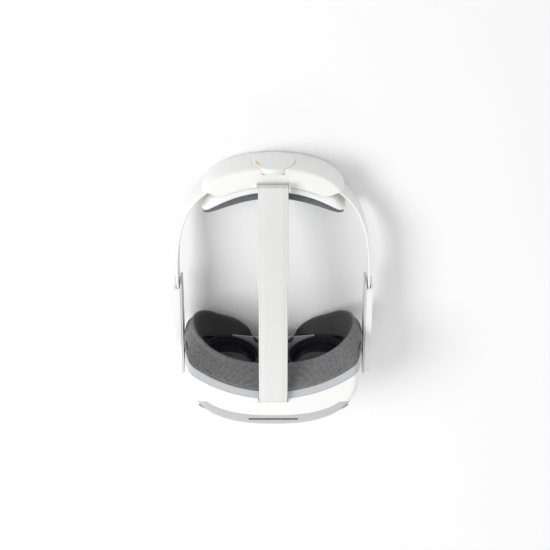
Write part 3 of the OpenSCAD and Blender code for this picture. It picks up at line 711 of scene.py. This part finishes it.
def build_face_cushion():
    """A funnel of foam: a woven outer wall, a thin rolled lip with a seam along it, and a smooth inner wall."""
    base_r = FACE_R + BEZEL_LIP - 0.5
    base = rim(base_r, 0.35, NOSE_R + 0.8)
    tucks = [rim(base_r + depth, 1.5, NOSE_R + 2.0) for depth in (0.4, 0.0)]
    lip = whole_loop(*(smooth_line(line, 8) for line in (LIP_ARCH, LIP_LOWER, LIP_UPPER)))
    inner = rounded_loop(60.8, 14.5, 64.5, 17, NOSE_R + 4.8)
    rows, kinds = list(tucks), [TUCK, TUCK]
    for k in range(WALL_ROWS):
        t = k / WALL_ROWS
        puff = math.sin(math.pi * t ** 0.5)
        row = []
        for (bx, by, bz), (lx, lz, ly) in zip(base, lip):
            away = face_outward(bx, bz) * puff * (2.2 + 1.0 * (abs(bx) / VISOR_A) ** 8)
            row.append((bx + (lx - bx) * t + away.x,
                        by + (ly - LIP_R - by) * t,
                        bz + (lz - bz) * t + away.z))
        rows.append(row)
        kinds.append(KNIT)
    for a in range(0, 181, 20):
        turn = math.radians(a)
        seam = 0.35 if a == 100 else 0.0
        row = []
        for lx, lz, ly in lip:
            inward = -face_outward(lx, lz)
            push = LIP_R * (1 - math.cos(turn))
            row.append((lx + inward.x * push,
                        ly - LIP_R + (LIP_R - seam) * math.sin(turn),
                        lz + inward.z * push))
        rows.append(row)
        kinds.append(KNIT if a < 100 else LINING)
    last = rows[-1]
    for k in range(1, WALL_ROWS + 1):
        t = k / WALL_ROWS
        sag = 1.4 * math.sin(math.pi * t)
        row = []
        for (px, py, pz), (ix, iz) in zip(last, inner):
            away = face_outward(ix, iz)
            row.append((px + (ix - px) * t + away.x * sag, py + (face_arc(ix, base_r) - py) * t,
                        pz + (iz - pz) * t + away.z * sag))
        rows.append(row)
        kinds.append(LINING)
    cushion = mesh_piece("face_cushion_foam", *net(rows, round_rows=True, round_columns=True), foam_knit)
    cushion.data.materials.append(foam_lining)
    cushion.data.materials.append(dark_plastic)
    width = len(base)
    for polygon in cushion.data.polygons:
        polygon.material_index = kinds[min(polygon.vertices) // width]
    modify(cushion, "SUBSURF", levels=1, render_levels=1)
    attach(cushion, "visor")
    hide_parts("face_cushion")


# ---- Nose guard ----

GUARD_REAR = [(0, 45.4), (6, 45.4), (12, 45), (16, 43.6), (20, 41.9), (25, 41.1), (30, 40.9), (35.4, 41)]
GUARD_HEIGHT = [(0, 24.4), (6, 23.9), (12, 22.5), (16, 20.6), (20, 18.4), (25, 16.5), (30, 15.5), (35.4, 15)]
GUARD_HALF = 35.2
LENS_SIDE = 12  # from this X on the flap sinks, to clear the lens tubes


def along_table(table, x):
    x = abs(x)
    for (x0, y0), (x1, y1) in zip(table, table[1:]):
        if x <= x1:
            return y0 + (y1 - y0) * (x - x0) / (x1 - x0)
    return table[-1][1]


def build_nose_guard():
    """A soft flap that arches over the nose and runs out in a rounded tip beside each lens."""
    across, deep = 72, 12
    rows = []
    for i in range(across + 1):
        x = GUARD_HALF * math.sin(math.pi * (i / across - 0.5))
        reach = (15.5 * max(0.0, 1 - (abs(x) / GUARD_HALF) ** 1.7)
                 + 4.5 * math.sqrt(max(0.0, 1 - (x / GUARD_HALF) ** 2)))
        rear, height = along_table(GUARD_REAR, x), along_table(GUARD_HEIGHT, x)
        sink = min(1.0, max(0.0, (abs(x) - LENS_SIDE) / 4))
        row = []
        for k in range(deep + 1):
            ahead, arch = 1 - k / deep, 0.8 * math.sin(math.pi * k / deep) * (1 - sink)
            row.append((x, rear - reach * ahead, height - 0.7 * ahead + arch - 0.9 * sink))
        rows.append(row)
    flap = mesh_piece("nose_guard_flap", *net(rows), guard_rubber)
    modify(flap, "SOLIDIFY", thickness=0.0012, offset=0)
    modify(flap, "SUBSURF", levels=1, render_levels=1)
    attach(flap, "visor")
    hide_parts("nose_guard")


# ---- Bands ----

BAND_X, BAND_Y0, BAND_T, BAND_H = 79.3, 106.0, 2.0, 22.6
ARM_ZC, BAND_DROP = 30.0, 13.5
TONGUE_Z, TONGUE_H, TONGUE_Y = 33.0, 14.0, 38.0
BAND_PATH = [(BAND_X, BAND_Y0), (BAND_X, 140.0), (79.0, 170.0), (50.0, 188.0)]


def bezier(p, t):
    weights = ((1 - t) ** 3, 3 * t * (1 - t) ** 2, 3 * t * t * (1 - t), t ** 3)
    return [sum(w * q[k] for w, q in zip(weights, p)) for k in (0, 1)]


def slab_section(half_t, half_h, radius):
    """A rounded rectangle, across by up."""
    out = []
    steps = 5
    for cx, cz, start in ((1, 1, 0), (-1, 1, 90), (-1, -1, 180), (1, -1, 270)):
        for k in range(steps + 1):
            a = math.radians(start + 90 * k / steps)
            out.append((cx * (half_t - radius) + radius * math.cos(a),
                        cz * (half_h - radius) + radius * math.sin(a)))
    return out


def build_band(side, name):
    steps = 60
    rows = []
    profile = slab_section(BAND_T / 2, BAND_H / 2, 0.9)
    for i in range(steps + 1):
        t = i / steps
        x, y = bezier(BAND_PATH, t)
        x1, y1 = bezier(BAND_PATH, min(1, t + 0.002))
        x0, y0 = bezier(BAND_PATH, max(0, t - 0.002))
        way = Vector((x1 - x0, y1 - y0)).normalized()
        s = min(1.0, max(0.0, t * 1.15 - 0.1))
        zc = ARM_ZC - BAND_DROP * s * s * (3 - 2 * s)
        rows.append([(side * (x + way.y * p), y - way.x * p, zc + q) for p, q in profile])
    tongue = slab_section(BAND_T / 2, TONGUE_H / 2, 0.5)
    tongue_rows = [[(side * (BAND_X + p), y, TONGUE_Z + q) for p, q in tongue]
                   for y in (TONGUE_Y, BAND_Y0 + 1)]
    points, faces = net(rows, round_rows=True, cap=True)
    more, more_faces = net(tongue_rows, round_rows=True, cap=True)
    faces += [tuple(i + len(points) for i in f) for f in more_faces]
    band = mesh_piece(name + "_spring", points + more, faces, white_plastic)
    soften(band, 0.2, angle=60)
    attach(band, "cradle")
    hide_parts(name)


# ---- Rear cradle ----

CRADLE_Z = 16.5
SHOULDER_X, SHOULDER_SPREAD = 46, 6  # where the frame thickens to carry the band
TICK_R = 14.3


def rear_outline(inset, z):
    """Plan of the rear housing at height z: the rear ellipse, slanted tips and the arc that fits the frame."""
    lean = abs(2 * z / REAR_H - 1) ** 3
    a, b = REAR_W / 2 - 3.0 * lean - inset, REAR_B - inset
    arc_r = FRAME_R1 + 0.1 + inset
    tip_x, tip_rise = 46.0, 6.5

    def front(x):
        slant = max(0.0, x - tip_x) * tip_rise / (62 - tip_x)
        return max(CRADLE_Y + math.sqrt(arc_r ** 2 - x * x), REAR_YC + inset + slant)

    def rear(x):
        return REAR_YC + b * math.sqrt(max(0.0, 1 - (x / a) ** 2))

    low, high = 40.0, a
    for _ in range(40):
        middle = (low + high) / 2
        low, high = (middle, high) if rear(middle) > front(middle) else (low, middle)
    end = low
    right = [(x, front(x)) for x in (end * i / 30 for i in range(31))]
    right += [(x, rear(x)) for x in (end * math.cos(math.radians(t)) for t in range(3, 91, 3))]
    right[-1] = (0.0, REAR_YC + b)
    return right + [(-x, y) for x, y in reversed(right[1:-1])]


def build_rear_cover():
    rows = []
    edge = 2.4
    for a in range(0, 91, 15):
        t = math.radians(a)
        z = edge * (1 - math.cos(t))
        rows.append([(x, y, z) for x, y in rear_outline(edge * (1 - math.sin(t)), z)])
    for z in (8.0, 16.5, 25.0):
        rows.append([(x, y, z) for x, y in rear_outline(0.0, z)])
    rows += [[(x, y, REAR_H - z) for x, y, z in row] for row in reversed(rows[:7])]
    cover = mesh_piece("rear_cover_skin", *net(rows, round_rows=True, cap=True), white_plastic)
    dial_line = [(0, DIAL_Y0 - 0.6, DIAL_Z), (0, 220, DIAL_Z)]
    cut(cover, [bar("cutter", dial_line, DIAL_R + 0.2, dark_plastic, 96)])
    soften(cover, 0.25)
    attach(cover, "cradle")
    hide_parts("rear_cover")


def cradle_sweep(name, r_mid, half_t, half_h, end_deg, material, power, thin, shoulder=0.0, outer=None):
    """A curved pad or plate round the back of the head, rounded in section and drawn in at both ends."""
    rows = []
    steps = 72
    for i in range(steps + 1):
        share = -1 + 2 * i / steps
        share = math.sin(share * math.pi / 2)
        fade = max(0.02, 1 - abs(share) ** power) ** (1 / 2.4)
        thick = half_t * (thin + (1 - thin) * fade)
        middle = outer - thick if outer else r_mid
        high = half_h * (0.35 + 0.65 * fade)
        a = math.radians(end_deg * share)
        profile = slab_section(thick, high, min(thick, high) * 0.85)
        swollen = 1 + shoulder * math.exp(-((abs(r_mid * math.sin(a)) - SHOULDER_X) / SHOULDER_SPREAD) ** 2)
        reach = [middle + p * (swollen if p > 0 else 1) for p, _ in profile]
        rows.append([(r * math.sin(a), CRADLE_Y + r * math.cos(a), CRADLE_Z + q)
                     for r, (_, q) in zip(reach, profile)])
    return mesh_piece(name, *net(rows, round_rows=True, cap=True), material)


def build_rear_frame():
    wing = math.degrees(math.asin(59.5 / FRAME_R1))
    plate = cradle_sweep("rear_frame_plate", (FRAME_R0 + FRAME_R1) / 2, 2.5, 16.0, wing, white_plastic,
                         10, 0.55, shoulder=1.3)
    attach(plate, "cradle")
    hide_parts("rear_frame")


def build_rear_pad():
    pad = cradle_sweep("rear_pad_foam", FRAME_R0 - 3.7, 3.5, 14.0, 39.8, pad_knit,
                       3, 0.1, outer=FRAME_R0 - 0.1)
    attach(pad, "cradle")
    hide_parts("rear_pad")


def build_dial():
    """A knurled rim under a plain, slightly domed face with one small amber tick."""
    teeth = 72
    around = teeth * 4
    rows = []
    profile = (  # place along the axis, radius and share of the knurl's depth
        (DIAL_Y0, DIAL_R - 1.0, 0), (DIAL_Y0, DIAL_R - 0.4, 0), (DIAL_Y0 + 0.5, DIAL_R, 1),
        (DIAL_Y1 - 1.6, DIAL_R, 1), (DIAL_Y1 - 1.1, DIAL_R - 0.3, 0.5), (DIAL_Y1 - 0.9, DIAL_R - 0.9, 0),
        (DIAL_Y1 - 0.55, DIAL_R * 0.75, 0), (DIAL_Y1 - 0.2, DIAL_R * 0.45, 0), (DIAL_Y1, DIAL_R * 0.1, 0))
    for y, r, knurl in profile:
        row = []
        for i in range(around):
            a = 2 * math.pi * i / around
            depth = 0.35 * knurl * (1 - abs(math.cos(math.pi * i / 4)))
            row.append(((r - depth) * math.sin(a), y, DIAL_Z + (r - depth) * math.cos(a)))
        rows.append(row)
    dial = mesh_piece("fit_dial_knob", *net(rows, round_rows=True, cap=True), white_plastic)
    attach(dial, "fit_dial")
    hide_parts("dial")
    tick_path = [(-TICK_R * math.cos(a), DIAL_Y1 - 0.62, DIAL_Z + TICK_R * math.sin(a))
                 for a in (math.radians(degrees) for degrees in range(14, 41, 2))]
    tick = bar("fit_dial_tick", tick_path, 0.55, amber_plastic, 12)
    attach(tick, "fit_dial")


# ---- Top strap ----

# Half section of the tape: shares of its half width, and of its thickness there
TAPE_ACROSS = [-1.0, -0.985, -0.94, -0.88, -0.86, -0.84, -0.5, 0.0, 0.5, 0.84, 0.86, 0.88, 0.94, 0.985, 1.0]
TAPE_THICK = [0.25, 0.72, 0.98, 1.0, 0.82, 0.96, 0.96, 0.96, 0.96, 0.96, 0.82, 1.0, 0.98, 0.72, 0.25]


def strap(name, centre, width, material, tail_corner=0.0):
    """A flat woven tape along centre, a list of (y, z), with thin edges, a raised hem and UVs in millimetres."""
    run = [0.0]
    for a, b in zip(centre, centre[1:]):
        run.append(run[-1] + (b - a).length)
    rows = []
    for i, p in enumerate(centre):
        way = (centre[min(i + 1, len(centre) - 1)] - centre[max(i - 1, 0)]).normalized()
        up = Vector((-way.y, way.x))
        half = width / 2
        if tail_corner and run[i] < tail_corner:
            half -= tail_corner - math.sqrt(tail_corner ** 2 - (tail_corner - run[i]) ** 2)
        top = [(half * s, p.x + up.x * STRAP_T / 2 * t, p.y + up.y * STRAP_T / 2 * t)
               for s, t in zip(TAPE_ACROSS, TAPE_THICK)]
        low = [(half * s, p.x - up.x * STRAP_T / 2 * t, p.y - up.y * STRAP_T / 2 * t)
               for s, t in zip(TAPE_ACROSS, TAPE_THICK)]
        rows.append(top + low[::-1])
    points, faces = net(rows, round_rows=True, cap=True)
    mesh = bpy.data.meshes.new(name)
    mesh.from_pydata([at(*p) for p in points], [], faces)
    mesh.materials.append(material)
    uv = mesh.uv_layers.new(name="UVMap")
    ring = len(rows[0])
    for loop in mesh.loops:
        uv.data[loop.index].uv = (points[loop.vertex_index][0], run[loop.vertex_index // ring])
    for polygon in mesh.polygons:
        polygon.use_smooth = True
    obj = bpy.data.objects.new(name, mesh)
    bpy.context.scene.collection.objects.link(obj)
    b = bmesh.new()
    b.from_mesh(mesh)
    bmesh.ops.recalc_face_normals(b, faces=b.faces)
    b.to_mesh(mesh)
    b.free()
    return obj


def lower_line():
    points = [(ANCHOR_Y + 0.9, VISOR_H - 4), (ANCHOR_Y + 1.6, VISOR_H - 0.4), (ANCHOR_Y + 4, VISOR_H + 3),
              (24, VISOR_H + 5.6), (40, VISOR_H + 6.4), (60, VISOR_H + 4.4), (84, VISOR_H - 1.2),
              (110, VISOR_H - 9.4), (140, VISOR_H - 19.6), (LOWER_END, VISOR_H - 31.8)]
    return smooth_line(points, 12)


def upper_line():
    lift = STRAP_T + 0.4
    fold = BAR_R + 0.15 + STRAP_T / 2
    points = [(TAIL_Y, VISOR_H - 11.8 + lift), (140, VISOR_H - 19.6 + lift),
              (LOWER_END, VISOR_H - 31.8 + lift)]
    points += [(BAR_Y + fold * math.cos(math.radians(a)), BAR_Z + fold * math.sin(math.radians(a)))
               for a in range(75, -151, -25)]
    points += [(BAR_Y - 6.5, BAR_Z + 1.4)]
    return smooth_line(points, 10)


def build_straps():
    front = strap("front_strap_tape", lower_line(), STRAP_W - 0.8, tape)
    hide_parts("front_strap")
    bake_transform(front)
    rear = strap("rear_strap_tape", upper_line(), STRAP_W, tape, tail_corner=4.0)
    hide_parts("rear_strap")
    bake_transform(rear)


# ---- Corner cameras ----

# Height along the camera's axis and radius
COLLAR = ((-1, 4.5), (3.1, 4.5), (3.4, 4.3), (3.5, 4.0), (3.4, 3.7), (3.1, 3.5))
WINDOW = ((3.05, 3.7), (3.25, 3.4), (3.4, 2.4), (3.46, 1.2), (3.48, 0.1))


def build_cameras():
    """White collars round black windows at the corners of the visor."""
    for side in (-1, 1):
        for upper in (True, False):
            foot, way = camera_axis(side, upper)
            name = "camera_" + ("upper_" if upper else "lower_") + ("left" if side > 0 else "right")
            turn = way.to_track_quat("Z", "Y")
            parts = (("_collar", COLLAR, white_plastic), ("_window", WINDOW, window_black))
            for part, profile, material in parts:
                rows = [[tuple(foot + way * d + turn @ Vector((r * math.cos(a), r * math.sin(a), 0)))
                         for a in (2 * math.pi * k / 40 for k in range(40))] for d, r in profile]
                piece = mesh_piece(name + part, *net(rows, round_rows=True), material)
                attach(piece, "visor")


build_visor()
build_bezel()
build_face_cushion()
build_nose_guard()
for band_side, band_name in ((1, "left_band"), (-1, "right_band")):
    build_band(band_side, band_name)
build_rear_cover()
build_rear_frame()
build_rear_pad()
build_dial()
build_straps()
build_cameras()

# ---- Floor and light ----


def build_stage():
    mesh = bpy.data.meshes.new("floor")
    reach = 6.0
    corners = [(-reach, -reach, 0), (reach, -reach, 0), (reach, reach, 0), (-reach, reach, 0)]
    mesh.from_pydata(corners, [], [(0, 1, 2, 3)])
    floor = bpy.data.objects.new("floor", mesh)
    bpy.context.scene.collection.objects.link(floor)
    pale = Nodes("pale_floor")
    pale.output(pale.mix(pale.noise(3.0), (0.90, 0.90, 0.90), (0.92, 0.92, 0.92)), "Base Color")
    pale.set(Roughness=0.9)
    mesh.materials.append(pale.material)


def area_light(name, place, target, size, power):
    data = bpy.data.lights.new(name, "AREA")
    data.size = size
    data.energy = power
    light = bpy.data.objects.new(name, data)
    light.location = place
    light.rotation_euler = (Vector(target) - Vector(place)).to_track_quat("-Z", "Y").to_euler()
    bpy.context.scene.collection.objects.link(light)


def build_light():
    world = bpy.data.worlds.new("studio")
    bpy.context.scene.world = world
    world.use_nodes = True
    background = world.node_tree.nodes["Background"]
    background.inputs["Color"].default_value = (1.0, 1.0, 1.0, 1.0)
    background.inputs["Strength"].default_value = 0.62
    middle = (0, 0, 0.04)
    area_light("key", (-1.1, 0.1, 1.2), middle, 0.8, 15)
    area_light("fill", (1.2, -0.2, 1.0), middle, 1.2, 2.5)
    area_light("front", (0.0, -1.4, 0.7), middle, 1.0, 4)
    bpy.context.scene.view_settings.view_transform = "Standard"


build_stage()
build_light()
